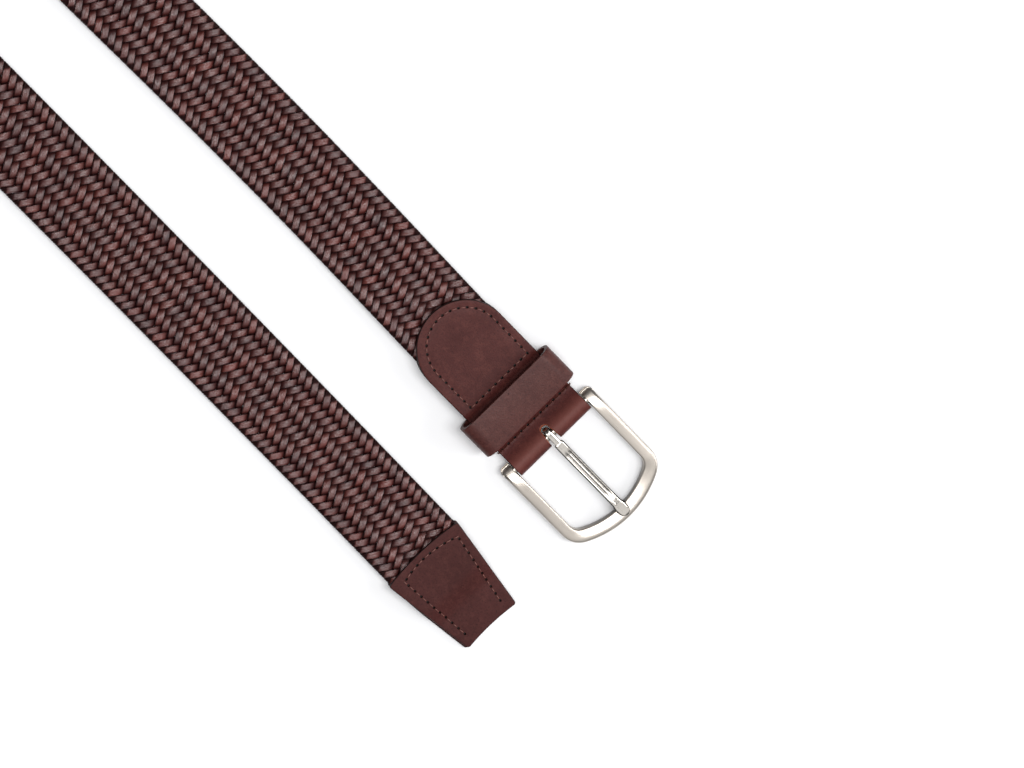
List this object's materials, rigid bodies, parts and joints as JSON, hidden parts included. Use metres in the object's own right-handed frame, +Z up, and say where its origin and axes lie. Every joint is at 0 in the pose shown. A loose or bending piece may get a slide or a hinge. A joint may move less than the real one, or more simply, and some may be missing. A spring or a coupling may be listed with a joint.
{
  "type": "braided belt",
  "caption": "Braided leather belt with a stitched buckle tab, keeper, metal frame buckle with a prong, and a tapered leather tail, laid in a long loop.",
  "frame": {"origin": "middle of the part's box, on the surface it lies on", "axes": "+X from the loop towards the buckle and the tail's end, +Y from the tail's run towards the buckle's run, +Z up"},
  "size_m": [0.554, 0.1014, 0.0325],
  "materials": {
    "braided_leather": "semi-gloss, narrow plaited strips",
    "smooth_leather": "satin, fine grain, dark painted edges",
    "brushed_metal": "satin nickel, brushed lengthwise",
    "polished_metal": "polished nickel"
  },
  "bodies": {
    "strap": {"braid": "braided_leather", "buckle_tab": "smooth_leather", "keeper": "smooth_leather", "tip_front": "smooth_leather", "tip_back": "smooth_leather"},
    "buckle": {"buckle_frame": "brushed_metal"},
    "prong": {"prong": "polished_metal"}
  },
  "joints": [
    {"name": "buckle_swing", "type": "hinge", "parent": "strap", "child": "buckle", "pos_m": [0.23388, 0.02851, 0.0035], "axis": [0, -1, 0], "range_deg": [-85, 40]},
    {"name": "prong_swing", "type": "hinge", "parent": "buckle", "child": "prong", "pos_m": [0.23388, 0.02851, 0.0035], "axis": [0, -1, 0], "range_deg": [0, 65]}
  ]
}
